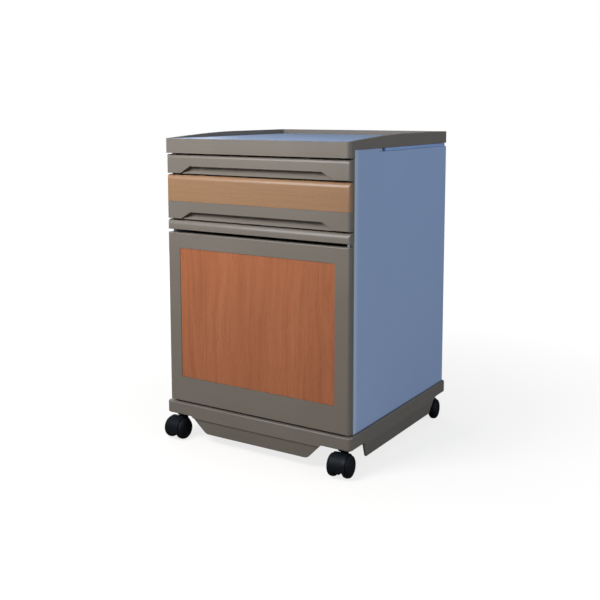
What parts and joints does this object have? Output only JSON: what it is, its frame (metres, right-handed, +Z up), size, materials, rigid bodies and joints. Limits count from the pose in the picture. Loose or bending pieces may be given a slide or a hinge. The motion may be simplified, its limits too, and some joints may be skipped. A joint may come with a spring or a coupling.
{
  "type": "bedside cabinet",
  "caption": "Hospital bedside cabinet with a rimmed top, pull-out dining board, drawer, hinged wood-panelled door, towel arm and twin-wheel swivel casters.",
  "frame": {"origin": "on the floor under the middle of the cabinet", "axes": "+Z up; the front with the door faces -Y; +X is the towel arm's side"},
  "size_m": [0.5064, 0.549, 0.7265],
  "materials": {
    "taupe_abs": "moulded, satin, very fine texture",
    "blue_laminate": "blue laminate on board, satin",
    "door_wood": "orange-brown straight-grained foil, satin",
    "maple_wood": "light maple foil, satin",
    "white_abs": "moulded, satin",
    "grey_laminate": "light grey laminate, satin",
    "steel": "zinc-plated",
    "aluminium": "satin, blue anodised",
    "clear_nylon": "natural nylon",
    "black_nylon": "moulded, satin",
    "black_tyre": "hard black polyamide, satin"
  },
  "bodies": {
    "carcass": {"top_tray": "taupe_abs", "deck_panel": "blue_laminate", "left_side_panel": "blue_laminate", "right_side_panel": "blue_laminate", "back_panel": "blue_laminate", "rear_post_left": "aluminium", "rear_post_right": "aluminium", "base_tray": "taupe_abs", "mid_rail": "taupe_abs", "divider_shelf": "grey_laminate", "inner_shelf": "grey_laminate", "shelf_pin_left_front": "clear_nylon", "shelf_pin_left_rear": "clear_nylon", "shelf_pin_right_front": "clear_nylon", "shelf_pin_right_rear": "clear_nylon", "drawer_channel_left": "steel", "drawer_channel_right": "steel", "board_guide_left": "steel", "board_guide_right": "steel", "door_catch": "white_abs", "towel_arm_pin": "steel", "towel_arm_button": "clear_nylon", "front_left_caster_socket": "clear_nylon", "front_right_caster_socket": "clear_nylon", "rear_left_caster_socket": "clear_nylon", "rear_right_caster_socket": "clear_nylon"},
    "drawer": {"drawer_box": "white_abs", "drawer_front": "taupe_abs", "drawer_fascia": "maple_wood", "drawer_runner_left": "steel", "drawer_runner_right": "steel"},
    "dining_board": {"dining_board": "grey_laminate", "board_front": "taupe_abs"},
    "door": {"door_frame": "taupe_abs", "door_wood_panel": "door_wood", "door_liner": "white_abs", "door_pin_top": "steel", "door_pin_bottom": "steel", "door_strike": "steel"},
    "towel_arm": {"towel_arm": "aluminium"},
    "front_left_swivel": {"front_left_caster_stem": "steel", "front_left_caster_hood": "black_nylon", "front_left_caster_axle": "steel"},
    "front_left_wheel_left": {"front_left_wheel_left": "black_tyre"},
    "front_left_wheel_right": {"front_left_wheel_right": "black_tyre"},
    "front_right_swivel": {"front_right_caster_stem": "steel", "front_right_caster_hood": "black_nylon", "front_right_caster_axle": "steel"},
    "front_right_wheel_left": {"front_right_wheel_left": "black_tyre"},
    "front_right_wheel_right": {"front_right_wheel_right": "black_tyre"},
    "rear_left_swivel": {"rear_left_caster_stem": "steel", "rear_left_caster_hood": "black_nylon", "rear_left_caster_axle": "steel"},
    "rear_left_wheel_left": {"rear_left_wheel_left": "black_tyre"},
    "rear_left_wheel_right": {"rear_left_wheel_right": "black_tyre"},
    "rear_right_swivel": {"rear_right_caster_stem": "steel", "rear_right_caster_hood": "black_nylon", "rear_right_caster_axle": "steel"},
    "rear_right_wheel_left": {"rear_right_wheel_left": "black_tyre"},
    "rear_right_wheel_right": {"rear_right_wheel_right": "black_tyre"}
  },
  "joints": [
    {"name": "board_slide", "type": "slide", "parent": "carcass", "child": "dining_board", "axis": [0, -1, 0], "range_m": [0, 0.3]},
    {"name": "drawer_slide", "type": "slide", "parent": "carcass", "child": "drawer", "axis": [0, -1, 0], "range_m": [0, 0.33]},
    {"name": "door_hinge", "type": "hinge", "parent": "carcass", "child": "door", "pos_m": [0.236, -0.2375, 0.2947], "axis": [0, 0, 1], "range_deg": [0, 110]},
    {"name": "towel_arm_hinge", "type": "hinge", "parent": "carcass", "child": "towel_arm", "pos_m": [0.2401, 0.236, 0.6943], "axis": [0, 0, 1], "range_deg": [0, 90]},
    {"name": "front_left_swivel", "type": "hinge", "parent": "carcass", "child": "front_left_swivel", "pos_m": [-0.2225, -0.2235, 0.0565], "axis": [0, 0, 1], "continuous": true},
    {"name": "front_left_wheel_left_spin", "type": "hinge", "parent": "front_left_swivel", "child": "front_left_wheel_left", "pos_m": [-0.2225, -0.2455, 0.025], "axis": [1, 0, 0], "continuous": true},
    {"name": "front_left_wheel_right_spin", "type": "hinge", "parent": "front_left_swivel", "child": "front_left_wheel_right", "pos_m": [-0.2225, -0.2455, 0.025], "axis": [1, 0, 0], "continuous": true},
    {"name": "front_right_swivel", "type": "hinge", "parent": "carcass", "child": "front_right_swivel", "pos_m": [0.2225, -0.2235, 0.0565], "axis": [0, 0, 1], "continuous": true},
    {"name": "front_right_wheel_left_spin", "type": "hinge", "parent": "front_right_swivel", "child": "front_right_wheel_left", "pos_m": [0.22556, -0.24529, 0.025], "axis": [0.9903, 0.1392, 0], "continuous": true},
    {"name": "front_right_wheel_right_spin", "type": "hinge", "parent": "front_right_swivel", "child": "front_right_wheel_right", "pos_m": [0.22556, -0.24529, 0.025], "axis": [0.9903, 0.1392, 0], "continuous": true},
    {"name": "rear_left_swivel", "type": "hinge", "parent": "carcass", "child": "rear_left_swivel", "pos_m": [-0.2225, 0.2235, 0.0565], "axis": [0, 0, 1], "continuous": true},
    {"name": "rear_left_wheel_left_spin", "type": "hinge", "parent": "rear_left_swivel", "child": "rear_left_wheel_left", "pos_m": [-0.22096, 0.24545, 0.025], "axis": [-0.9976, 0.0698, 0], "continuous": true},
    {"name": "rear_left_wheel_right_spin", "type": "hinge", "parent": "rear_left_swivel", "child": "rear_left_wheel_right", "pos_m": [-0.22096, 0.24545, 0.025], "axis": [-0.9976, 0.0698, 0], "continuous": true},
    {"name": "rear_right_swivel", "type": "hinge", "parent": "carcass", "child": "rear_right_swivel", "pos_m": [0.2225, 0.2235, 0.0565], "axis": [0, 0, 1], "continuous": true},
    {"name": "rear_right_wheel_left_spin", "type": "hinge", "parent": "rear_right_swivel", "child": "rear_right_wheel_left", "pos_m": [0.22556, 0.20171, 0.025], "axis": [0.9903, 0.1392, 0], "continuous": true},
    {"name": "rear_right_wheel_right_spin", "type": "hinge", "parent": "rear_right_swivel", "child": "rear_right_wheel_right", "pos_m": [0.22556, 0.20171, 0.025], "axis": [0.9903, 0.1392, 0], "continuous": true}
  ]
}
